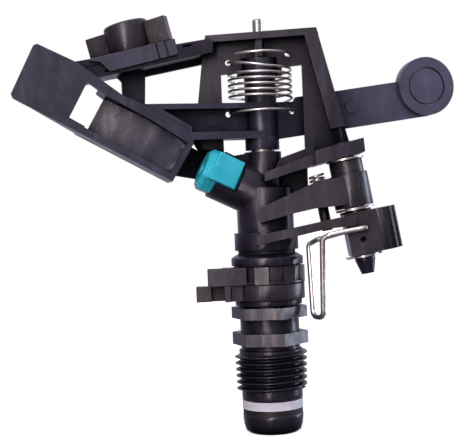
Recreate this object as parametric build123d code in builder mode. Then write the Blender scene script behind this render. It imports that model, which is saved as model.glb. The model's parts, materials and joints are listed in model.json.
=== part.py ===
from build123d import *
import os
from math import cos, hypot, radians, sin

os.makedirs("parts", exist_ok=True)

# Part-circle impact sprinkler, millimetres. The origin is the centre of the water inlet, at the lower
# end of the bearing tube. +Z runs up the turning axis and the jet leaves towards -X.

# ---- driving dimensions ----
# bearing, from the inlet upwards
TUBE_R = 6.0
TUBE_BORE_R = 4.6
TUBE_TOP = 64.6
FLANGE_R = 8.65
FLANGE_TOP = 5.3
RUBBER_TOP = 6.9
WHITE_TOP = 9.3
RUNNING = 0.08  # radial clearance of a turning fit

THREAD_LOW = 11.3
THREAD_HIGH = 23.5
THREAD_CREST_R = 10.48  # half-inch pipe thread, 14 to the inch, at its large end
THREAD_PITCH = 1.814
THREAD_DEPTH = 1.4
THREAD_TAPER = 1 / 32  # radius lost for each millimetre downwards
NECK_R = 8.45
HEX_FLATS = 19.0
HEX_TURN = 7.4  # degrees from +X to a flat's normal
LOWER_HEX = (25.1, 28.6)
UPPER_HEX = (32.6, 35.8)
SEAT_R = 8.6
SEAT_LOW = 37.8
SEAT_HIGH = 47.7
RIM_R = 10.3
NIPPLE_TOP = 50.9
CAVITY_R = 7.4
CAVITY_LOW = 29.4

COLLAR_R = 10.5
COLLAR_BORE_R = 8.7
LOWER_COLLAR = (37.95, 42.3)
UPPER_COLLAR = (42.5, 47.4)

# head
SKIRT_LOW = 52.0
SKIRT_TOP = 57.0
SKIRT_R = 9.15
BARREL_R = 8.1
BARREL_TOP = 70.0
BOSS_R = 5.3
BOSS_TOP = 80.0
BRIDGE_TURN = 13.0  # degrees from the jet's plane to the bridge frame's plane
BRIDGE_FRONT = 5.0  # the frame's wide members stand this far each side of its middle plane
WEB_HALF = 1.0
PIN_R = 1.5
PIN_TOP = 118.3

# jet
JET_SLOPE = 26.0
JET_HEIGHT = 67.3  # where the nozzle's axis crosses the turning axis
BRANCH_R = 7.0
SEAT_BORE_R = 5.0
NOZZLE_FACE = 20.0  # along the nozzle's axis
BRANCH_END = 15.6
ORIFICE_R = 2.0

# arm
ARM_FRONT = -5.0
ARM_BACK = 0.9
ARM_WEB = (-0.8, 1.2)  # front and back of the arm's web and of the counterweight's plate
HUB_R = 4.55
HUB_LOW = 80.7
HUB_TOP = 106.6
SPOON_SLOPE = 29.8
SPOON_LONG = 50.2
SPOON_WIDE = 15.6
SPOON_BACK = 3.8
VANE_BACK = -3.4
SPRING_R = 9.05
SPRING_WIRE_R = 0.36
SPRING_TURNS = 5.4
SPRING_PITCH = 1.61
SPRING_LOW = 95.25
WEIGHT_AT = (50.6, 98.35)
WEIGHT_R = 8.65
WEIGHT_BORE_R = 5.7
WEIGHT_FRONT = -2.3

# range control
CARRIER_SLOPE = 13.4
CARRIER_HEIGHT = 118.1  # where the carrier's top line crosses the turning axis
BAR_FRONT = -2.6
BAR_BACK = 8.6
KNOB_AT = 37.1  # along the carrier's top line
KNOB_R = 6.3
KNOB_TURNED = 27.0  # degrees that the wings stand round from the bar
KNOB_SHAFT_R = 2.5
SHAFT_LOW = -4.9
PADDLE_FRONT = 5.8
PADDLE_BACK = 7.2

# trip mechanism
TRIP_TILT = 9.35
TRIP_AT = (25.2, 62.2)  # where the trip axis crosses the gap between the levers, in the bridge plane
TRIP_DEPTH = 6.0  # how far the trip axis stands in front of the bridge plane
SPINDLE_R = 2.85
CLIP_AT = -13.2
BLOCK_LOW = -12.4
BLOCK_TOP = -0.6
PEG_AT = (-8.6, 1.6)
SPRING_SEAT = 5.0
BAIL_WIRE_R = 0.75
BAIL_AT = (27.3, 57.3)
SPARE_AT = (26.6, 54.1)

# ---- frames ----
turn = radians(BRIDGE_TURN)
slope = radians(SPOON_SLOPE)
carrier = radians(CARRIER_SLOPE)
jet = radians(JET_SLOPE)
tilt = radians(TRIP_TILT)
ACROSS = Vector(cos(turn), -sin(turn), 0)  # to the right in the bridge plane
AHEAD = Vector(-sin(turn), -cos(turn), 0)  # out of the bridge plane's front
BRIDGE = Plane(origin=(0, 0, 0), x_dir=ACROSS, z_dir=AHEAD)  # x across, y up
JET_PLANE = Plane(origin=(0, 0, 0), x_dir=(-1, 0, 0), z_dir=(0, 1, 0))  # x along the jet, y up
SPOON = Plane(origin=(-27.4, 0, 72.2), x_dir=(-cos(slope), 0, sin(slope)), z_dir=(0, 1, 0))
SPOON_EDGE = Plane(
    origin=(-27.4, 0, 72.2), x_dir=(-cos(slope), 0, sin(slope)), z_dir=(sin(slope), 0, cos(slope))
)
CARRIER = Plane(origin=(0, 0, CARRIER_HEIGHT), x_dir=(-cos(carrier), 0, -sin(carrier)), z_dir=(0, 1, 0))
KNOB_MIDDLE = (BAR_FRONT + BAR_BACK) / 2
KNOB = Plane(
    origin=CARRIER.from_local_coords(Vector(KNOB_AT, 0, KNOB_MIDDLE)),
    x_dir=(-cos(carrier), 0, -sin(carrier)),
    z_dir=(-sin(carrier), 0, cos(carrier)),
)  # x along the carrier, y to the front, z up the knob's axis
NOZZLE = Plane(origin=(0, 0, JET_HEIGHT), x_dir=(0, -1, 0), z_dir=(-cos(jet), 0, sin(jet)))
TRIP_UP = ACROSS * -sin(tilt) + Vector(0, 0, cos(tilt))
TRIP = Plane(
    origin=BRIDGE.from_local_coords(Vector(TRIP_AT[0], TRIP_AT[1], TRIP_DEPTH)),
    x_dir=ACROSS * cos(tilt) + Vector(0, 0, sin(tilt)),
    z_dir=TRIP_UP,
)  # x to the right, y to the back, z up the spindle


def level(height):
    """A level plane turned with the bridge frame: x across, y to the back."""
    return Plane(origin=(0, 0, height), x_dir=ACROSS, z_dir=(0, 0, 1))


def slab(points, plane, low, high, mode=Mode.ADD):
    """Extrude a straight-sided outline from one depth of a plane to another."""
    with BuildSketch(plane.offset(low)) as outline:
        with BuildLine():
            Polyline(*points, close=True)
        make_face()
    extrude(outline.sketch, amount=high - low, mode=mode)


def disc(plane, radius, low, high, mode=Mode.ADD, at=(0, 0)):
    """A round bar along a plane's normal, from one depth to another."""
    with BuildSketch(plane.offset(low)) as outline:
        with Locations(at):
            Circle(radius)
    extrude(outline.sketch, amount=high - low, mode=mode)


def ring(plane, outer, inner, low, high):
    """A flat ring, from one depth of a plane to another."""
    with BuildSketch(plane.offset(low)) as outline:
        Circle(outer)
        Circle(inner, mode=Mode.SUBTRACT)
    extrude(outline.sketch, amount=high - low)


def turned(points):
    """Revolve an outline of (radius, height) points about the turning axis."""
    with BuildSketch(Plane.XZ) as outline:
        with BuildLine():
            Polyline(*points, close=True)
        make_face()
    revolve(outline.sketch, axis=Axis.Z)


def finish(builder, name):
    """Label a piece and write its STEP file."""
    builder.part.label = name
    export_step(builder.part, f"parts/{name}.step")


# ---- bearing ----
with BuildPart() as bearing_tube:
    turned(
        [
            (TUBE_BORE_R, 0),
            (FLANGE_R - 1.6, 0),
            (FLANGE_R - 0.75, 0.6),
            (FLANGE_R - 0.2, 2.4),
            (FLANGE_R, 4.4),
            (FLANGE_R, FLANGE_TOP),
            (TUBE_R, FLANGE_TOP),
            (TUBE_R, TUBE_TOP),
            (TUBE_BORE_R, TUBE_TOP),
        ]
    )
finish(bearing_tube, "bearing_tube")

with BuildPart() as thrust_washer_rubber:
    ring(Plane.XY, FLANGE_R - 0.1, TUBE_R + 0.15, FLANGE_TOP, RUBBER_TOP)
finish(thrust_washer_rubber, "thrust_washer_rubber")

with BuildPart() as thrust_washer_white:
    ring(Plane.XY, FLANGE_R + 0.05, TUBE_R + 0.15, RUBBER_TOP, WHITE_TOP)
finish(thrust_washer_white, "thrust_washer_white")

with BuildPart() as bearing_nipple:
    root_high = THREAD_CREST_R - THREAD_DEPTH
    root_low = root_high - (THREAD_HIGH - THREAD_LOW) * THREAD_TAPER
    turned(
        [
            (TUBE_R + RUNNING, WHITE_TOP),
            (root_low - 0.45, WHITE_TOP),
            (root_low, WHITE_TOP + 0.5),
            (root_low, THREAD_LOW),
            (root_high, THREAD_HIGH),
            (NECK_R, THREAD_HIGH + 0.3),
            (NECK_R, SEAT_LOW - 1.4),
            (SEAT_R + 1.0, SEAT_LOW - 1.4),
            (SEAT_R + 1.0, SEAT_LOW),
            (SEAT_R, SEAT_LOW),
            (SEAT_R, SEAT_HIGH),
            (RIM_R, SEAT_HIGH),
            (RIM_R, NIPPLE_TOP - 1.0),
            (RIM_R - 1.7, NIPPLE_TOP),
            (CAVITY_R, NIPPLE_TOP),
            (CAVITY_R, CAVITY_LOW),
            (TUBE_R + RUNNING, CAVITY_LOW),
        ]
    )
    # male pipe thread: a tapered helix that fades into the neck at both ends
    with BuildPart(mode=Mode.PRIVATE) as ridge:
        with BuildLine() as lead:
            Helix(
                pitch=THREAD_PITCH,
                height=THREAD_HIGH - THREAD_LOW - 1.2,
                radius=root_low - 0.05,
                center=(0, 0, THREAD_LOW + 0.4),
                cone_angle=1.79,
            )
        with BuildSketch(Plane(origin=lead.line @ 0, x_dir=(1, 0, 0), z_dir=lead.line % 0)) as tooth:
            with BuildLine():
                Polyline(
                    (-0.25, -0.82), (THREAD_DEPTH, -0.12), (THREAD_DEPTH, 0.12), (-0.25, 0.82), close=True
                )
            make_face()
        sweep(tooth.sketch, path=lead.line, is_frenet=True)
    add(ridge.part)
    for low, high in (LOWER_HEX, UPPER_HEX):
        with BuildSketch(Plane.XY.offset(low)) as nut:
            RegularPolygon(HEX_FLATS / 2, 6, major_radius=False, rotation=HEX_TURN - 30)
            Circle(NECK_R - 0.5, mode=Mode.SUBTRACT)
        extrude(nut.sketch, amount=high - low)
finish(bearing_nipple, "bearing_nipple")

with BuildPart() as bearing_spring:
    with BuildLine() as coil:
        Helix(pitch=3.2, height=20.0, radius=6.72, center=(0, 0, CAVITY_LOW + 0.6))
    with BuildSketch(Plane(origin=coil.line @ 0, z_dir=coil.line % 0)) as wire:
        Circle(0.4)
    sweep(wire.sketch, path=coil.line, is_frenet=True)
finish(bearing_spring, "bearing_spring")

with BuildPart() as dust_seal:
    ring(Plane.XY, 8.2, TUBE_R + 0.1, NIPPLE_TOP + 0.05, SKIRT_LOW)
finish(dust_seal, "dust_seal")

# ---- trip collars: split rings with pinch ears, seen from above in the bridge frame's direction ----
with BuildPart() as lower_collar:
    low, high = LOWER_COLLAR
    tall = high - low
    with BuildSketch(level(low)) as band:
        Circle(COLLAR_R)
        with Locations((-14.0, -2.4)):
            Rectangle(12.0, 1.8)
        with Locations((-18.4, -3.2)):
            Rectangle(4.3, 3.4)
        with Locations((-9.6, -6.3)):
            Rectangle(5.6, 2.0)
        with Locations((-11.6, -7.1)):
            Rectangle(1.6, 2.6)
        Circle(COLLAR_BORE_R, mode=Mode.SUBTRACT)
        with Locations((-9.2, -4.3)):
            Rectangle(4.6, 1.6, mode=Mode.SUBTRACT)
    extrude(band.sketch, amount=tall)
finish(lower_collar, "lower_collar")

with BuildPart() as upper_collar:
    low, high = UPPER_COLLAR
    ring(level(0), COLLAR_R - 0.75, COLLAR_BORE_R, low, high)
    ring(level(0), COLLAR_R, COLLAR_BORE_R, low, low + 0.7)
    with BuildSketch(level(low)) as blocks:
        with PolarLocations(COLLAR_R - 0.75, 7, start_angle=-101 - 45, angular_range=315):
            Rectangle(1.5, 4.0)
        Circle(COLLAR_R - 1.2, mode=Mode.SUBTRACT)
    extrude(blocks.sketch, amount=high - low)
    with BuildSketch(level(low)) as ears:
        with Locations((-11.65, -7.2)):
            Rectangle(10.9, 2.4)
        with Locations((-10.6, -3.4)):
            Rectangle(5.2, 1.8)
        Circle(COLLAR_BORE_R, mode=Mode.SUBTRACT)
    extrude(ears.sketch, amount=high - low)
    with BuildSketch(level(low)) as gap:
        with Locations((-9.4, -5.15)):
            Rectangle(4.4, 1.5)
    extrude(gap.sketch, amount=high - low, mode=Mode.SUBTRACT)
finish(upper_collar, "upper_collar")

# ---- head ----
with BuildPart() as sprinkler_body:
    turned(
        [
            (0, SKIRT_LOW),
            (SKIRT_R, SKIRT_LOW),
            (SKIRT_R, SKIRT_TOP),
            (BARREL_R, SKIRT_TOP),
            (BARREL_R, BARREL_TOP - 0.5),
            (BARREL_R - 0.5, BARREL_TOP),
            (BOSS_R, BARREL_TOP),
            (BOSS_R, BOSS_TOP),
            (0, BOSS_TOP),
        ]
    )
    disc(NOZZLE, BRANCH_R, 0, BRANCH_END)
    # gusset between the branch and the pin boss
    slab([(2.0, 72.6), (9.8, 79.0), (5.0, 79.7), (2.0, 79.8)], JET_PLANE, -2.2, 2.2)
    # bridge frame: top bar, right post's rim, webs and left post
    slab(
        [(-15.1, 113.4), (16.4, 114.5), (17.0, 112.5), (13.0, 112.4), (-13.2, 111.5), (-15.4, 111.4)],
        BRIDGE, -BRIDGE_FRONT, BRIDGE_FRONT,
    )
    slab([(13.0, 112.4), (16.4, 114.5), (24.8, 80.6), (20.7, 79.9)], BRIDGE, -3.0, BRIDGE_FRONT)
    slab([(12.2, 78.4), (21.4, 80.6), (14.0, 113.4), (12.2, 113.4)], BRIDGE, -WEB_HALF, WEB_HALF)
    slab([(-15.0, 102.4), (12.4, 104.7), (13.4, 113.4), (-15.0, 112.4)], BRIDGE, -WEB_HALF, WEB_HALF)
    slab(
        [(-11.1, 112.6), (-11.1, 79.2), (-16.0, 76.6), (-20.2, 83.9), (-18.0, 94.8), (-16.0, 109.9),
         (-15.1, 112.6)],
        BRIDGE, -BRIDGE_FRONT, WEB_HALF,
    )
    # shroud behind the arm's hub, and a rib in front of the pin
    with BuildSketch(level(102.0)) as shroud:
        Circle(6.5)
        with Locations((0, -4.0)):
            Rectangle(14.0, 8.0, mode=Mode.SUBTRACT)
    extrude(shroud.sketch, amount=10.6)
    slab([(-0.7, 107.2), (0.9, 107.2), (0.9, 113.0), (-0.7, 113.0)], BRIDGE, 0, 4.2)
    # foot: lower shelf from the boss, the gusset above it, the plate over the trip spindle, and a web
    slab([(0, 71.3), (14.4, 75.4), (14.4, 78.6), (0, 73.8)], BRIDGE, -4.0, 8.8)
    slab([(3.0, 74.6), (14.4, 78.0), (14.4, 81.0), (4.6, 77.8)], BRIDGE, -3.0, 5.0)
    slab([(14.2, 75.2), (28.0, 78.4), (27.7, 82.2), (14.2, 79.2)], BRIDGE, -3.0, 11.6)
    slab([(5.0, 65.0), (12.6, 65.6), (12.6, 76.0), (5.0, 74.0)], BRIDGE, -1.5, 1.5)
    # room for the nozzle's flange, then the shield behind the jet
    disc(NOZZLE, 6.3, BRANCH_END, 30.0, mode=Mode.SUBTRACT)
    slab(
        [(10.0, 68.6), (17.7, 73.0), (26.0, 74.6), (26.0, 80.0), (21.6, 83.6), (7.4, 75.6)],
        JET_PLANE, 6.35, 7.6,
    )
    # range-control bar, deeper at its back, with moulded pockets in its front
    slab([(54.4, 105.7), (15.0, 112.3), (13.9, 111.4), (14.1, 108.5), (54.4, 99.8)], JET_PLANE, BAR_FRONT,
         BAR_BACK)
    slab([(15.0, 109.0), (15.0, 106.6), (32.0, 103.1), (32.0, 105.4)], JET_PLANE, 6.8, BAR_BACK)
    for across, up, long in ((21.3, 110.3, 2.6), (43.8, 103.4, 1.8)):
        slab(
            [(across - long / 2, up + 0.6), (across + long / 2, up + 0.1), (across + long / 2, up - 0.6),
             (across - long / 2, up - 0.1)],
            JET_PLANE, BAR_FRONT - 0.5, BAR_FRONT + 1.2, mode=Mode.SUBTRACT,
        )
    slab([(45.6, 105.2), (50.6, 104.0), (50.6, 104.3), (45.6, 105.5)], JET_PLANE, BAR_FRONT - 0.5,
         BAR_FRONT + 0.4, mode=Mode.SUBTRACT)
    # relief for the arm's hub
    disc(Plane.XY, 5.2, BOSS_TOP, HUB_TOP + 0.5, mode=Mode.SUBTRACT)
    # water way
    disc(Plane.XY, TUBE_R + 0.02, SKIRT_LOW, TUBE_TOP, mode=Mode.SUBTRACT)
    disc(Plane.XY, TUBE_BORE_R - 0.2, TUBE_TOP - 0.5, 69.2, mode=Mode.SUBTRACT)
    disc(NOZZLE, SEAT_BORE_R, 3.0, 18.0, mode=Mode.SUBTRACT)
    disc(NOZZLE, 3.6, -1.5, 4.0, mode=Mode.SUBTRACT)
    # bayonet cut-out on the near side of the branch, open at its end
    with BuildSketch(NOZZLE.offset(9.4)) as cutout:
        with Locations((6.4, 4.1)):
            Rectangle(8.0, 14.2)
    extrude(cutout.sketch, amount=9.0, mode=Mode.SUBTRACT)
    # holes for the fulcrum pin, the trip spindle, the spring's hooks and the knob's shaft
    disc(Plane.XY, PIN_R, 71.6, 117.0, mode=Mode.SUBTRACT)
    disc(TRIP, SPINDLE_R, 13.0, 24.0, mode=Mode.SUBTRACT)
    for hook in ((-8.9, 106.1), (8.35, 107.9)):
        disc(BRIDGE, 0.9, -2.0, 2.0, mode=Mode.SUBTRACT, at=hook)
    disc(KNOB, KNOB_SHAFT_R + 0.08, SHAFT_LOW - 0.15, 2.0, mode=Mode.SUBTRACT)
    # pocket that the deflector paddle slides in
    slab([(31.2, 99.0), (42.0, 99.0), (42.0, 105.4), (31.2, 106.6)], JET_PLANE, PADDLE_FRONT - 0.15,
         PADDLE_BACK + 0.15, mode=Mode.SUBTRACT)
finish(sprinkler_body, "sprinkler_body")

with BuildPart() as nozzle:
    disc(NOZZLE, SEAT_BORE_R - 0.04, 4.5, BRANCH_END + 0.2)
    with BuildSketch(NOZZLE.offset(BRANCH_END + 0.05)) as flange:
        RegularPolygon(6.0, 8, major_radius=False, rotation=22.5)
    extrude(flange.sketch, amount=NOZZLE_FACE - BRANCH_END - 0.05)
    rim = faces().sort_by(Axis((0, 0, 0), NOZZLE.z_dir))[-1].edges()
    chamfer(rim, 1.1)
    # bayonet tab with a flat face on the near side
    with BuildSketch(NOZZLE.offset(10.4)) as tab:
        with Locations((5.7, 1.2)):
            Rectangle(4.8, 8.2)
    extrude(tab.sketch, amount=7.8)
    fillet(faces().sort_by(Axis.Y)[0].edges(), 0.5)
    with BuildSketch(NOZZLE.offset(4.0)) as entry:
        Circle(3.9)
    with BuildSketch(NOZZLE.offset(14.0)) as throat:
        Circle(ORIFICE_R)
    loft([entry.sketch.faces()[0], throat.sketch.faces()[0]], mode=Mode.SUBTRACT)
    disc(NOZZLE, ORIFICE_R, 13.5, 21.0, mode=Mode.SUBTRACT)
finish(nozzle, "nozzle")

with BuildPart() as fulcrum_pin:
    turned([(0, 71.6), (PIN_R, 71.6), (PIN_R, PIN_TOP - 0.4), (PIN_R - 0.4, PIN_TOP), (0, PIN_TOP)])
finish(fulcrum_pin, "fulcrum_pin")

with BuildPart() as pin_washer:
    ring(Plane.XY, 3.4, PIN_R + 0.1, BOSS_TOP, HUB_LOW)
finish(pin_washer, "pin_washer")

# ---- arm ----
with BuildPart() as impact_arm:
    # channel between the hub and the spoon
    slab([(0, 83.7), (22.2, 83.7), (22.2, 86.5), (34.2, 93.8), (0, 93.8)], JET_PLANE, ARM_FRONT, ARM_BACK)
    slab([(0, 85.8), (21.4, 85.8), (21.4, 87.4), (29.6, 92.3), (0, 92.3)], JET_PLANE, ARM_FRONT - 1,
         ARM_WEB[0], mode=Mode.SUBTRACT)
    # counterweight plate and the cup at its end
    slab(
        [(0, 83.1), (0, 94.3), (-9.8, 94.4), (-10.4, 95.7), (-42.6, 99.95), (-52.0, 98.0), (-51.7, 89.7)],
        JET_PLANE, *ARM_WEB,
    )
    cup_at = (-WEIGHT_AT[0], WEIGHT_AT[1])
    disc(JET_PLANE, WEIGHT_R, WEIGHT_FRONT, ARM_WEB[1], at=cup_at)
    disc(JET_PLANE, WEIGHT_BORE_R, WEIGHT_FRONT - 1, 0.2, mode=Mode.SUBTRACT, at=cup_at)
    # spoon: a shallow box from the jet's side to the window, and a thin vane beyond it
    top_line = [(2.0, 14.8), (15.0, 15.3), (23.0, 14.5), (38.0, 16.4), (SPOON_LONG - 0.5, SPOON_WIDE)]
    tip = [(SPOON_LONG - 1.7, -0.5), (SPOON_LONG - 0.7, 0.3), (SPOON_LONG + 0.2, SPOON_WIDE - 0.9)]
    slab([(0, 0)] + tip + top_line[::-1] + [(-0.4, 12.2)], SPOON, ARM_FRONT, VANE_BACK)
    slab([(0, 0), (29.6, -0.3), (29.6, 15.3), (23.0, 14.5), (15.0, 15.3), (2.0, 14.8), (-0.4, 12.2)], SPOON,
         ARM_FRONT, SPOON_BACK)
    slab([(1.5, 1.7), (28.2, 1.7), (28.2, 12.2), (14.0, 12.4), (1.2, 11.6)], SPOON, ARM_FRONT - 1,
         SPOON_BACK + 1, mode=Mode.SUBTRACT)
    # window, through the vane and the end of the box
    slab([(27.3, 2.0), (33.0, 2.1), (33.2, 13.1), (27.3, 12.2)], SPOON, ARM_FRONT - 1, SPOON_BACK + 1,
         mode=Mode.SUBTRACT)
    # jet's way in through the end wall, behind the front lip
    disc(NOZZLE, 3.2, 22.0, 36.0, mode=Mode.SUBTRACT)
    # curved splitter across the box
    with BuildSketch(SPOON_EDGE.offset(1.2)) as splitter:
        with BuildLine():
            front = ThreePointArc((0.8, 2.9), (15.0, 0.9), (27.0, -2.2))
            Line(front @ 1, (27.0, -3.4))
            back = ThreePointArc((27.0, -3.4), (15.0, -0.3), (0.8, 1.7))
            Line(back @ 1, front @ 0)
        make_face()
    extrude(splitter.sketch, amount=11.4)
    # stiffening rib behind the vane's lower edge, which runs out towards its tip
    slab([(29.0, 3.6), (SPOON_LONG - 2.0, 3.6), (SPOON_LONG - 2.0, 3.2), (29.0, -1.6)], SPOON_EDGE, -0.3, 0.8)
    # hub
    disc(Plane.XY, HUB_R, HUB_LOW + 3.0, HUB_TOP)
    disc(Plane.XY, HUB_R + 0.35, HUB_LOW, HUB_LOW + 3.5)
    disc(Plane.XY, PIN_R + RUNNING, HUB_LOW - 1, HUB_TOP + 1, mode=Mode.SUBTRACT)
    for across, up in ((9.8, 91.0), (-9.2, 91.6)):
        disc(JET_PLANE, 0.85, -2.0, 2.0, mode=Mode.SUBTRACT, at=(across, up))
    # round ejector pads, slightly proud of the web and of the plate
    for across, up in ((14.65, 89.3), (-27.3, 92.7)):
        disc(JET_PLANE, 2.0, ARM_WEB[0] - 0.25, 0, at=(across, up))
finish(impact_arm, "impact_arm")

with BuildPart() as arm_spring:
    with BuildLine() as coil:
        Helix(
            pitch=SPRING_PITCH, height=SPRING_TURNS * SPRING_PITCH, radius=SPRING_R,
            center=(0, 0, SPRING_LOW), lefthand=True,
        )
    with BuildSketch(Plane(origin=coil.line @ 0, z_dir=coil.line % 0)) as wire:
        Circle(SPRING_WIRE_R)
    sweep(wire.sketch, path=coil.line, is_frenet=True)
finish(arm_spring, "arm_spring")

with BuildPart() as weight_slug:
    disc(JET_PLANE, WEIGHT_BORE_R, WEIGHT_FRONT + 0.8, 0.2, at=cup_at)
finish(weight_slug, "weight_slug")

with BuildPart() as weight_cap:
    disc(JET_PLANE, WEIGHT_BORE_R - 0.3, WEIGHT_FRONT + 0.1, WEIGHT_FRONT + 0.8, at=cup_at)
    chamfer(faces().sort_by(Axis.Y)[0].edges(), 0.2)
finish(weight_cap, "weight_cap")

# ---- range control ----
with BuildPart() as deflector_carrier:
    slab([(26.6, -4.5), (45.6, -4.6), (47.6, -1.5), (50.0, -0.6), (50.0, 0), (25.6, 0), (25.8, -4.4)],
         CARRIER, BAR_FRONT - 0.9, BAR_BACK + 0.9)
    # channel that the bar fills, and grooves in the front
    slab([(56.0, 105.45), (15.0, 112.32), (13.9, 111.4), (14.1, 108.5), (56.0, 99.4)], JET_PLANE, BAR_FRONT,
         BAR_BACK, mode=Mode.SUBTRACT)
    for across, wide in ((28.3, 0.5), (31.0, 0.3)):
        slab([(across, -5.0), (across + wide, -5.0), (across + wide, 1.0), (across, 1.0)], CARRIER,
             BAR_FRONT - 1.0, BAR_FRONT - 0.5, mode=Mode.SUBTRACT)
    disc(KNOB, KNOB_SHAFT_R + 0.1, -9.0, 4.0, mode=Mode.SUBTRACT)
finish(deflector_carrier, "deflector_carrier")

KNOB_FOOT = 0.15
with BuildPart() as deflector_knob:
    disc(KNOB, KNOB_R, KNOB_FOOT, 8.1)
    chamfer(faces().sort_by(Axis((0, 0, 0), KNOB.z_dir))[-1].edges(), 0.5)
    with BuildSketch(KNOB.offset(KNOB_FOOT)) as wings:
        Rectangle(24.0, 3.4, rotation=-KNOB_TURNED)
    extrude(wings.sketch, amount=6.8)
    disc(KNOB, KNOB_SHAFT_R, SHAFT_LOW, KNOB_FOOT)
    disc(KNOB, KNOB_R - 1.4, 6.4, 10.0, mode=Mode.SUBTRACT)
finish(deflector_knob, "deflector_knob")

with BuildPart() as deflector_paddle:
    slab(
        [(32.1, 105.9), (41.6, 104.7), (41.6, 104.0), (39.1, 101.5), (39.0, 94.4), (36.0, 90.8),
         (32.8, 92.0)],
        JET_PLANE, PADDLE_FRONT, PADDLE_BACK,
    )
finish(deflector_paddle, "deflector_paddle")

# ---- trip mechanism ----
with BuildPart() as trip_spindle:
    disc(TRIP, SPINDLE_R, -14.2, 19.4)
    with BuildSketch(TRIP.offset(-14.2)) as shoulder:
        Circle(SPINDLE_R)
    with BuildSketch(TRIP.offset(-18.0)) as tip:
        Circle(1.8)
    loft([tip.sketch.faces()[0], shoulder.sketch.faces()[0]])
    with BuildSketch(TRIP.offset(CLIP_AT - 0.1)) as groove:
        Circle(SPINDLE_R + 1)
        Circle(SPINDLE_R - 0.6, mode=Mode.SUBTRACT)
    extrude(groove.sketch, amount=0.7, mode=Mode.SUBTRACT)
finish(trip_spindle, "trip_spindle")

with BuildPart() as trip_top_washer:
    ring(TRIP, 5.3, SPINDLE_R + 0.1, 14.3, 14.8)
finish(trip_top_washer, "trip_top_washer")

with BuildPart() as trip_middle_washer:
    ring(TRIP, 5.4, SPINDLE_R + 0.1, 0.2, 0.8)
finish(trip_middle_washer, "trip_middle_washer")

with BuildPart() as trip_retaining_clip:
    with BuildSketch(TRIP.offset(CLIP_AT)) as clip:
        Circle(4.3)
        with Locations((-3.9, 1.9), (-3.9, -1.9), (3.9, 0)):
            Rectangle(2.2, 1.8)
        Circle(SPINDLE_R - 0.6, mode=Mode.SUBTRACT)
        with Locations((-4.0, 0)):
            Rectangle(7.0, 2.0, mode=Mode.SUBTRACT)
    extrude(clip.sketch, amount=0.5)
finish(trip_retaining_clip, "trip_retaining_clip")

with BuildPart() as reversing_lever:
    ring(TRIP, 4.7, SPINDLE_R + RUNNING, 10.0, 14.2)
    disc(TRIP, 5.45, 1.0, 10.4)
    slab(
        [(-2.6, 63.4), (-1.8, 59.7), (7.0, 61.9), (14.0, 63.2), (20.0, 63.6), (26.0, 64.6), (26.0, 71.4),
         (15.7, 71.2)],
        BRIDGE, 9.0, 11.2,
    )
    disc(TRIP, SPINDLE_R + RUNNING, 0, 20.0, mode=Mode.SUBTRACT)
finish(reversing_lever, "reversing_lever")

with BuildPart() as trip_lever:
    # hub block: flat front, and a rounded end with finger ribs
    with BuildSketch(TRIP.offset(BLOCK_LOW)) as block:
        with Locations((0.6, 0)):
            Rectangle(9.0, 9.4)
        with Locations((5.9, 0)):
            Circle(4.7)
        for turned_by in range(-75, 76, 25):
            with Locations(Location((5.9 + 4.7 * cos(radians(turned_by)), 4.7 * sin(radians(turned_by))),
                                    turned_by)):
                Rectangle(0.9, 0.8)
    extrude(block.sketch, amount=BLOCK_TOP - BLOCK_LOW)
    slab([(-2.9, 53.6), (8.0, 55.6), (17.0, 57.4), (25.0, 58.0), (25.0, 61.0), (20.5, 60.4), (-2.9, 56.2)],
         BRIDGE, 9.7, 11.2)
    slab([(14.6, 57.2), (25.0, 58.8), (25.0, 60.8), (14.6, 59.2)], BRIDGE, 3.6, 7.2)
    disc(TRIP, SPINDLE_R + 1.6, BLOCK_TOP, 0)
    # peg that carries the over-centre spring
    disc(TRIP, 1.5, -4.0, SPRING_SEAT, at=PEG_AT)
    disc(TRIP, SPINDLE_R + RUNNING, BLOCK_LOW - 1, 1.0, mode=Mode.SUBTRACT)
    # blind holes for the bail's ends, front and back, in two heights
    for hole in (BAIL_AT, SPARE_AT):
        disc(BRIDGE, BAIL_WIRE_R + 0.06, 9.0, 12.0, mode=Mode.SUBTRACT, at=hole)
        disc(BRIDGE, BAIL_WIRE_R + 0.06, 0.0, 2.8, mode=Mode.SUBTRACT, at=hole)
finish(trip_lever, "trip_lever")

with BuildPart() as trip_bail:
    across, up = BAIL_AT
    route = [
        (across, up, 9.3),
        (across, up, 12.3),
        (17.0, 55.7, 12.3),
        (15.1, 54.6, 11.6),
        (14.8, 32.6, 8.6),
        (12.3, 32.6, 4.6),
        (12.0, 53.0, 1.4),
        (14.4, 54.2, 0.3),
        (across, up, 0.3),
        (across, up, 2.6),
    ]
    with BuildLine() as path:
        FilletPolyline(
            *[BRIDGE.from_local_coords(Vector(*point)) for point in route],
            radius=[1.2, 1.5, 1.6, 2.0, 2.0, 1.5, 1.5, 1.1],
        )
    with BuildSketch(Plane(origin=path.line @ 0, z_dir=path.line % 0)) as wire:
        Circle(BAIL_WIRE_R)
    sweep(wire.sketch, path=path.line)
finish(trip_bail, "trip_bail")

with BuildPart() as over_centre_spring:
    with BuildLine() as coil:
        Helix(
            pitch=1.05, height=8.4, radius=2.0, direction=TRIP.z_dir,
            center=TRIP.from_local_coords(Vector(*PEG_AT, 3.6)),
        )
    with BuildSketch(Plane(origin=coil.line @ 0, z_dir=coil.line % 0)) as wire:
        Circle(0.32)
    sweep(wire.sketch, path=coil.line, is_frenet=True)
finish(over_centre_spring, "over_centre_spring")
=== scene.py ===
import json
import math

import bpy
from mathutils import Matrix, Vector


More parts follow.
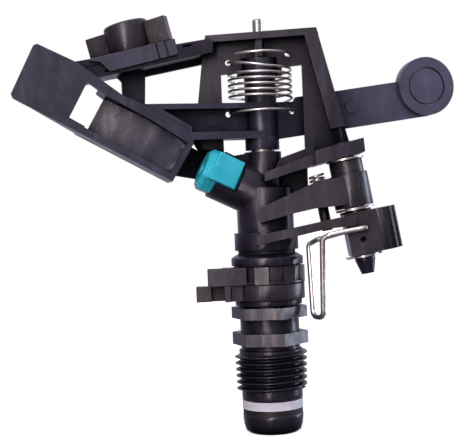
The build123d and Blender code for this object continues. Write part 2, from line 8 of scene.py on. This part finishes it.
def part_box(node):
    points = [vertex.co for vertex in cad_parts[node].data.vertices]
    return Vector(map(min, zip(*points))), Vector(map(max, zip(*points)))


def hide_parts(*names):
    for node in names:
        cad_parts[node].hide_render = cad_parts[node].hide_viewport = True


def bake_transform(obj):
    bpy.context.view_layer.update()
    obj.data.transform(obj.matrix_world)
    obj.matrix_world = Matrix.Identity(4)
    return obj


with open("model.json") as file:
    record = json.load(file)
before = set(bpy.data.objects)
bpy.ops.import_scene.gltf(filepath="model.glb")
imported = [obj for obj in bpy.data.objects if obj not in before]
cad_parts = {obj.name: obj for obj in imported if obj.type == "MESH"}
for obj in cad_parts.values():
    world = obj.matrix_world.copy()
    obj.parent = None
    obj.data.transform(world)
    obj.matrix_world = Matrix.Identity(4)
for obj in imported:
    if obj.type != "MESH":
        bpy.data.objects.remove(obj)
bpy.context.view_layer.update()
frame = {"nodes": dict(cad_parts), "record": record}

MM = 0.001

# ---- camera: in front of the bridge frame, a little left of the turning axis, slightly rolled ----
BRIDGE_TURN = math.radians(13.0)
ACROSS = Vector((math.cos(BRIDGE_TURN), -math.sin(BRIDGE_TURN), 0))
AHEAD = Vector((-math.sin(BRIDGE_TURN), -math.cos(BRIDGE_TURN), 0))
UP = Vector((0, 0, 1))
CAMERA_BACK = 288 * MM
CAMERA_LEFT = 9.2 * MM
CAMERA_HEIGHT = 60.6 * MM
CAMERA_ROLL = math.radians(2.35)
LENS = 77.1
SENSOR = 36
NEAR_CLIP = 10 * MM

camera = bpy.data.objects.new("camera", bpy.data.cameras.new("camera"))
bpy.context.collection.objects.link(camera)
camera.data.lens = LENS
camera.data.sensor_width = SENSOR
camera.data.clip_start = NEAR_CLIP
camera_right = ACROSS * math.cos(CAMERA_ROLL) - UP * math.sin(CAMERA_ROLL)
camera_up = ACROSS * math.sin(CAMERA_ROLL) + UP * math.cos(CAMERA_ROLL)
camera_at = AHEAD * CAMERA_BACK - ACROSS * CAMERA_LEFT + UP * CAMERA_HEIGHT
camera.matrix_world = Matrix(
    (
        (camera_right.x, camera_up.x, AHEAD.x, camera_at.x),
        (camera_right.y, camera_up.y, AHEAD.y, camera_at.y),
        (camera_right.z, camera_up.z, AHEAD.z, camera_at.z),
        (0, 0, 0, 1),
    )
)
bpy.context.scene.camera = camera
bpy.context.scene.view_settings.view_transform = "Standard"


# ---- materials ----
def fill(ramp, stops):
    """Sets a colour ramp's stops, each (position, (red, green, blue))."""
    elements = ramp.color_ramp.elements
    while len(elements) < len(stops):
        elements.new(0.5)
    for element, (at, colour) in zip(elements, stops):
        element.position = at
        element.color = (*colour, 1)


class Shade:
    """Node building for one material, with every texture in object metres."""

    def __init__(self, name):
        self.material = bpy.data.materials.new(name)
        self.material.use_nodes = True
        self.nodes = self.material.node_tree.nodes
        self.links = self.material.node_tree.links
        self.shader = self.nodes["Principled BSDF"]
        self.place = self.nodes.new("ShaderNodeTexCoord").outputs["Object"]

    def noise(self, scale, detail=4.0, rough=0.55, stretch=None):
        texture = self.nodes.new("ShaderNodeTexNoise")
        texture.inputs["Scale"].default_value = scale
        texture.inputs["Detail"].default_value = detail
        texture.inputs["Roughness"].default_value = rough
        source = self.place
        if stretch:
            mapping = self.nodes.new("ShaderNodeMapping")
            mapping.inputs["Scale"].default_value = stretch
            self.links.new(source, mapping.inputs["Vector"])
            source = mapping.outputs["Vector"]
        self.links.new(source, texture.inputs["Vector"])
        return texture.outputs["Fac"]

    def ramp(self, factor, stops):
        ramp = self.nodes.new("ShaderNodeValToRGB")
        fill(ramp, [(at, (level, level, level)) for at, level in stops])
        self.links.new(factor, ramp.inputs["Fac"])
        return ramp.outputs["Color"]

    def mix(self, factor, a, b, blend="MIX"):
        mix = self.nodes.new("ShaderNodeMix")
        mix.data_type = "RGBA"
        mix.blend_type = blend
        for socket, value in (("Factor", factor), ("A", a), ("B", b)):
            target = [s for s in mix.inputs if s.name == socket and s.enabled][0]
            if isinstance(value, (int, float)):
                target.default_value = value
            elif isinstance(value, tuple):
                target.default_value = (*value, 1)
            else:
                self.links.new(value, target)
        return [s for s in mix.outputs if s.enabled][0]

    def bump(self, parts):
        """Adds up (height, strength, distance) bumps into the shader's normal."""
        normal = None
        for height, strength, distance in parts:
            bump = self.nodes.new("ShaderNodeBump")
            bump.inputs["Strength"].default_value = strength
            bump.inputs["Distance"].default_value = distance
            self.links.new(height, bump.inputs["Height"])
            if normal:
                self.links.new(normal, bump.inputs["Normal"])
            normal = bump.outputs["Normal"]
        self.links.new(normal, self.shader.inputs["Normal"])

    def edge_wear_and_highlight(self, radius):
        """A mask that is bright along sharp edges and broken up by noise, for edge wear together with a
        painted edge highlight.
        """
        bevel = self.nodes.new("ShaderNodeBevel")
        bevel.samples = 4
        bevel.inputs["Radius"].default_value = radius
        geometry = self.nodes.new("ShaderNodeNewGeometry")
        dot = self.nodes.new("ShaderNodeVectorMath")
        dot.operation = "DOT_PRODUCT"
        self.links.new(bevel.outputs["Normal"], dot.inputs[0])
        self.links.new(geometry.outputs["Normal"], dot.inputs[1])
        edge = self.ramp(dot.outputs["Value"], [(0.55, 1.0), (0.97, 0.0)])
        broken = self.ramp(self.noise(700, 5, 0.7), [(0.38, 0.15), (0.62, 1.0)])
        return self.mix(1.0, edge, broken, "MULTIPLY")

    def painted_corner_shade(self, distance):
        """Painted shade: bright in the open and dark in recesses and corners, from ambient occlusion."""
        hollow = self.nodes.new("ShaderNodeAmbientOcclusion")
        hollow.samples = 4
        hollow.inputs["Distance"].default_value = distance
        return self.ramp(hollow.outputs["AO"], [(0.3, 0.1), (0.92, 1.0)])

    def scaled(self, value, factor):
        multiply = self.nodes.new("ShaderNodeMath")
        multiply.operation = "MULTIPLY"
        self.links.new(value, multiply.inputs[0])
        multiply.inputs[1].default_value = factor
        return multiply.outputs["Value"]

    def set(self, **values):
        for name, value in values.items():
            socket = self.shader.inputs[name.replace("_", " ")]
            if isinstance(value, bpy.types.NodeSocket):
                self.links.new(value, socket)
            else:
                socket.default_value = (*value, 1) if isinstance(value, tuple) else value
        return self.material


# radii of the edge mask and the paler edge colour: partly wear, partly a painted highlight
PLASTIC_EDGE_RADIUS = 0.35 * MM
CLEAR_EDGE_RADIUS = 0.4 * MM
WORN_AND_LIT_EDGE = (0.06, 0.056, 0.068)
SPARK_SHARE = 0.22
STAIN = (0.2, 0.16, 0.12)


def black_plastic(name, dark, light, scuff, amount=0.35, gloss=0.29, hollow=0.007, paler_end=None):
    """Moulded black plastic, with painted shade that darkens its colour and reflection within hollow
    metres of a corner.
    The last argument, (colour, x where it starts, x where it is full), turns one end towards that colour,
    more so along x."""
    s = Shade(name)
    cloud = s.noise(130, 5, 0.6)
    speck = s.noise(2300, 3, 0.65)
    spark = s.ramp(s.noise(1500, 2, 0.5), [(0.66, 0.0), (0.72, 1.0)])
    base = s.mix(s.ramp(cloud, [(0.35, 0.0), (0.7, 1.0)]), dark, light)
    flow = s.noise(260, 6, 0.7, (1.0, 1.0, 0.22))
    scuffed = s.mix(s.ramp(flow, [(0.55, 0.0), (0.74, amount)]), base, scuff)
    # one end made paler and bluer along x, in patches
    if paler_end:
        colour, start, full = paler_end
        across = s.nodes.new("ShaderNodeSeparateXYZ")
        s.links.new(s.place, across.inputs["Vector"])
        reach = s.nodes.new("ShaderNodeMapRange")
        s.links.new(across.outputs["X"], reach.inputs["Value"])
        reach.inputs["From Min"].default_value = start
        reach.inputs["From Max"].default_value = full
        patchy = s.mix(s.ramp(cloud, [(0.3, 0.45), (0.7, 1.0)]), (0.0, 0.0, 0.0), (1.0, 1.0, 1.0))
        paler_share = s.mix(1.0, reach.outputs["Result"], patchy, "MULTIPLY")
        scuffed = s.mix(paler_share, scuffed, colour)
    # sharp edges paler: partly rubbed wear, partly a painted highlight
    edged = s.mix(s.edge_wear_and_highlight(PLASTIC_EDGE_RADIUS), scuffed, WORN_AND_LIT_EDGE)
    worn = s.mix(s.mix(SPARK_SHARE, (0.0, 0.0, 0.0), spark), edged, scuff)
    rough = s.ramp(flow, [(0.3, gloss - 0.05), (0.75, gloss + 0.2)])
    s.bump([(cloud, 0.3, 0.0004), (speck, 0.22, 0.0001)])
    # painted shade: ambient occlusion darkens the base colour and the reflection strength in recesses and
    # corners
    painted_shade = s.painted_corner_shade(hollow)
    shaded = s.mix(1.0, worn, painted_shade, "MULTIPLY")
    return s.set(Base_Color=shaded, Roughness=rough, Specular_IOR_Level=s.scaled(painted_shade, 0.5))


def clear_plastic(name, low, high, roughness):
    """Moulded coloured plastic that lets a little light in, paler along its edges: partly wear, partly a
    painted highlight.
    """
    s = Shade(name)
    cloud = s.noise(220, 5, 0.6)
    base = s.mix(s.ramp(cloud, [(0.3, 0.0), (0.72, 1.0)]), low, high)
    # edges paler: a painted highlight, partly wear too
    lit = s.mix(s.edge_wear_and_highlight(CLEAR_EDGE_RADIUS), base, tuple(min(1.0, c * 1.7 + 0.06) for c in high))
    s.bump([(cloud, 0.25, 0.0002), (s.noise(1900, 3), 0.1, 0.00006)])
    s.set(Subsurface_Weight=0.12, Subsurface_Scale=0.002)
    return s.set(Base_Color=lit, Roughness=s.ramp(cloud, [(0.3, roughness), (0.7, roughness + 0.12)]))


def metal(name, low, high, roughness, stretch):
    """Drawn or plated steel with brown stains."""
    s = Shade(name)
    drawn = s.noise(900, 5, 0.6, stretch)
    stain = s.noise(240, 4, 0.6)
    base = s.mix(s.ramp(drawn, [(0.3, 0.0), (0.7, 1.0)]), low, high)
    stained = s.mix(s.ramp(stain, [(0.5, 0.0), (0.78, 0.55)]), base, STAIN)
    s.bump([(drawn, 0.2, 0.00005)])
    rough = s.ramp(stain, [(0.3, roughness), (0.75, roughness + 0.18)])
    return s.set(Base_Color=stained, Metallic=1.0, Roughness=rough)


black = black_plastic("black_moulded", (0.008, 0.006, 0.013), (0.018, 0.015, 0.026), (0.055, 0.05, 0.068))
# hollow sets how far the painted corner shade reaches; the frame and the arm get it deeper
frame_black = black_plastic(
    "black_frame", (0.007, 0.005, 0.012), (0.017, 0.013, 0.026), (0.055, 0.048, 0.07), 0.4, hollow=0.017
)
slate = black_plastic(
    "black_abraded", (0.021, 0.02, 0.036), (0.044, 0.043, 0.07), (0.11, 0.108, 0.15), 0.42, hollow=0.021,
    paler_end=((0.105, 0.108, 0.165), 0.012, 0.05),
)
umber = black_plastic(
    "black_sunned", (0.016, 0.012, 0.016), (0.032, 0.026, 0.032), (0.09, 0.074, 0.075), 0.45
)
haze = black_plastic("black_hazed", (0.04, 0.038, 0.056), (0.072, 0.068, 0.098), (0.13, 0.125, 0.16), 0.4)
rubber = black_plastic(
    "black_rubber", (0.006, 0.006, 0.007), (0.012, 0.012, 0.013), (0.03, 0.03, 0.03), 0.3, 0.5
)
teal = clear_plastic("teal_moulded", (0.02, 0.46, 0.55), (0.045, 0.6, 0.7), 0.3)
white = clear_plastic("white_moulded", (0.6, 0.6, 0.63), (0.78, 0.78, 0.82), 0.42)
plate = metal("plated_steel", (0.42, 0.4, 0.37), (0.62, 0.6, 0.56), 0.3, (1, 1, 1))
wire = metal("drawn_wire", (0.6, 0.56, 0.5), (0.95, 0.9, 0.83), 0.26, (0.4, 0.4, 1.6))

by_slot = {
    "black_plastic": black, "nozzle_plastic": teal, "white_washer": white, "rubber": rubber,
    "steel": plate, "spring_steel": wire,
}
by_node = {
    "sprinkler_body": frame_black, "impact_arm": slate, "weight_cap": slate, "deflector_carrier": haze,
    "deflector_knob": umber, "reversing_lever": umber, "trip_lever": umber, "lower_collar": umber,
    "upper_collar": umber,
}
slot_of = {s["node"]: s["material_slot"] for s in frame["record"]["subparts"]}
WELD_REACH = 0.002 * MM
SHARP = math.radians(40)
# widths of the rounded edges, in millimetres
BEVELS = {
    "impact_arm": 0.22, "sprinkler_body": 0.25, "deflector_carrier": 0.2, "deflector_knob": 0.3,
    "deflector_paddle": 0.2, "reversing_lever": 0.25, "trip_lever": 0.22, "lower_collar": 0.2,
    "upper_collar": 0.2, "nozzle": 0.25, "bearing_nipple": 0.15, "bearing_tube": 0.15,
}
for node, obj in frame["nodes"].items():
    for index in range(len(obj.material_slots)):
        obj.material_slots[index].material = by_node.get(node, by_slot[slot_of[node]])
    if node in BEVELS:
        weld = obj.modifiers.new("weld", "WELD")
        weld.merge_threshold = WELD_REACH
        bevel = obj.modifiers.new("edges", "BEVEL")
        bevel.width = BEVELS[node] * MM
        bevel.segments = 2
        bevel.limit_method = "ANGLE"
        bevel.angle_limit = SHARP
        bevel.use_clamp_overlap = True
        bevel.harden_normals = True
        bevel.miter_outer = "MITER_ARC"


# ---- the piece that stands for a CAD node ----
def tube(name, points, radius, material):
    """A round wire along the points, as a mesh."""
    curve = bpy.data.curves.new(name, "CURVE")
    curve.dimensions = "3D"
    spline = curve.splines.new("NURBS")
    spline.points.add(len(points) - 1)
    for target, point in zip(spline.points, points):
        target.co = (*point, 1)
    spline.order_u = 3
    spline.use_endpoint_u = True
    spline.resolution_u = 6
    curve.bevel_depth = radius
    curve.bevel_resolution = 5
    curve.use_fill_caps = True
    holder = bpy.data.objects.new(name + "_path", curve)
    bpy.context.collection.objects.link(holder)
    bpy.context.view_layer.update()
    mesh = bpy.data.meshes.new_from_object(holder.evaluated_get(bpy.context.evaluated_depsgraph_get()))
    bpy.data.objects.remove(holder)
    piece = bpy.data.objects.new(name, mesh)
    bpy.context.collection.objects.link(piece)
    mesh.materials.clear()
    mesh.materials.append(material)
    for polygon in mesh.polygons:
        polygon.use_smooth = True
    return piece


# arm spring: a left-hand coil whose end turns pass through the arm's and the frame's holes
spring_low, spring_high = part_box("arm_spring")
WIRE_R = 0.36 * MM
COIL_R = (spring_high.y - spring_low.y) / 2 - WIRE_R
COIL_TURNS = 5.25
COIL_LOW = spring_low.z + WIRE_R
PITCH = 1.61 * MM
TOP_HOOK = 107.8 * MM  # at the holes in the frame
BOTTOM_HOOK = 91.2 * MM  # at the holes in the arm
FIRST_TURN = -1.03
LAST_TURN = 6.45
STEPS = 24  # points to a turn
heights = [
    (FIRST_TURN, BOTTOM_HOOK + 0.4 * MM), (-0.75, BOTTOM_HOOK + 0.3 * MM), (-0.5, BOTTOM_HOOK),
    (-0.25, (BOTTOM_HOOK + COIL_LOW) / 2), (0.0, COIL_LOW), (COIL_TURNS, COIL_LOW + PITCH * COIL_TURNS),
    (5.5, 106.0 * MM), (5.75, 107.1 * MM), (6.0, TOP_HOOK), (6.25, TOP_HOOK),
    (LAST_TURN, TOP_HOOK - 0.2 * MM),
]  # (turn, height), with an even slope from each to the next
points = []
for step in range(int(FIRST_TURN * STEPS), int(LAST_TURN * STEPS) + 1):
    turn = step / STEPS
    below = max((h for h in heights if h[0] <= turn), default=heights[0])
    above = min((h for h in heights if h[0] > turn), default=heights[-1])
    span = above[0] - below[0]
    share = (turn - below[0]) / span if span else 0
    z = below[1] + (above[1] - below[1]) * share
    angle = -2 * math.pi * turn
    points.append((COIL_R * math.cos(angle), COIL_R * math.sin(angle), z))
arm_coil = tube("arm_coil", points, WIRE_R, wire)
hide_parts("arm_spring")
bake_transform(arm_coil)


# ---- stage and light ----
FLOOR_SIZE = 8
FLOOR_GLOW = 0.72
ROOM_R = 3.0
# how bright the room's wall is in each direction
ROOM_BELOW = 0.1
ROOM_SIDE = 0.1
ROOM_ABOVE = 0.7
ROOM_BEHIND = 0.6
ROOM_FRONT = 0.2
ROOM_TINT = (0.96, 0.9, 1.12)
LIT_POINT = Vector((0, 0, 70 * MM))

world = bpy.data.worlds.new("studio")
bpy.context.scene.world = world
world.use_nodes = True
world.node_tree.nodes["Background"].inputs["Color"].default_value = (1, 1, 1, 1)
world.node_tree.nodes["Background"].inputs["Strength"].default_value = 1.0
bpy.ops.mesh.primitive_plane_add(size=FLOOR_SIZE, location=(0, 0, 0))
floor = bpy.context.object
floor.name = "floor"
paint = Shade("floor_paint")
paint.set(
    Base_Color=paint.mix(paint.noise(3, 2), (0.5, 0.5, 0.5), (0.54, 0.54, 0.54)), Roughness=0.9,
    Specular_IOR_Level=0.0, Emission_Color=(1.0, 1.0, 1.0), Emission_Strength=FLOOR_GLOW,
)
floor.data.materials.append(paint.material)
floor.visible_glossy = False
floor.visible_diffuse = False

# studio room round the object: it lights and is reflected, and the camera looks through it to the white
bpy.ops.mesh.primitive_uv_sphere_add(segments=64, ring_count=32, radius=ROOM_R)
room = bpy.context.object
room.name = "room"
room.visible_camera = False
room.visible_shadow = False
walls = bpy.data.materials.new("room_walls")
walls.use_nodes = True
nodes, links = walls.node_tree.nodes, walls.node_tree.links
nodes.remove(nodes["Principled BSDF"])
place = nodes.new("ShaderNodeTexCoord").outputs["Object"]


def toward(direction, stops):
    """Brightness of the room's wall by how far it lies in a direction from its middle."""
    dot = nodes.new("ShaderNodeVectorMath")
    dot.operation = "DOT_PRODUCT"
    links.new(place, dot.inputs[0])
    dot.inputs[1].default_value = tuple(direction / (2 * ROOM_R))
    centre = nodes.new("ShaderNodeMath")
    centre.operation = "ADD"
    links.new(dot.outputs["Value"], centre.inputs[0])
    centre.inputs[1].default_value = 0.5
    ramp = nodes.new("ShaderNodeValToRGB")
    fill(ramp, [(at, tuple(level * tint for tint in ROOM_TINT)) for at, level in stops])
    links.new(centre.outputs["Value"], ramp.inputs["Fac"])
    return ramp.outputs["Color"]


total = nodes.new("ShaderNodeMix")
total.data_type = "RGBA"
total.blend_type = "ADD"
sockets = {s.name: s for s in total.inputs if s.enabled}
sockets["Factor"].default_value = 1.0
links.new(toward(UP, [(0.0, ROOM_BELOW), (0.5, ROOM_SIDE), (1.0, ROOM_ABOVE)]), sockets["A"])
links.new(toward(AHEAD, [(0.0, ROOM_BEHIND), (0.3, 0.0), (0.75, 0.0), (1.0, ROOM_FRONT)]), sockets["B"])
glow = nodes.new("ShaderNodeEmission")
links.new([s for s in total.outputs if s.enabled][0], glow.inputs["Color"])
links.new(glow.outputs["Emission"], nodes["Material Output"].inputs["Surface"])
room.data.materials.append(walls)


def softbox(name, azimuth, height, distance, size, colour, watts):
    """An area light aimed at the middle of the object; azimuth in degrees from -Y towards +X."""
    light = bpy.data.lights.new(name, "AREA")
    light.shape = "RECTANGLE"
    light.size, light.size_y = size
    light.color = colour
    light.energy = watts
    lamp = bpy.data.objects.new(name, light)
    bpy.context.collection.objects.link(lamp)
    turn = math.radians(azimuth)
    lamp.location = (math.sin(turn) * distance, -math.cos(turn) * distance, height)
    aim = LIT_POINT - Vector(lamp.location)
    lamp.rotation_euler = aim.to_track_quat("-Z", "Y").to_euler()


softbox("key", -29, 0.16, 0.75, (0.1, 0.8), (1.0, 0.87, 0.9), 5.0)
softbox("cool_side", 91, 0.15, 0.8, (0.12, 0.6), (0.72, 0.8, 1.0), 5.0)
softbox("top", -20, 0.9, 0.35, (0.5, 0.5), (0.93, 0.92, 1.0), 2.4)
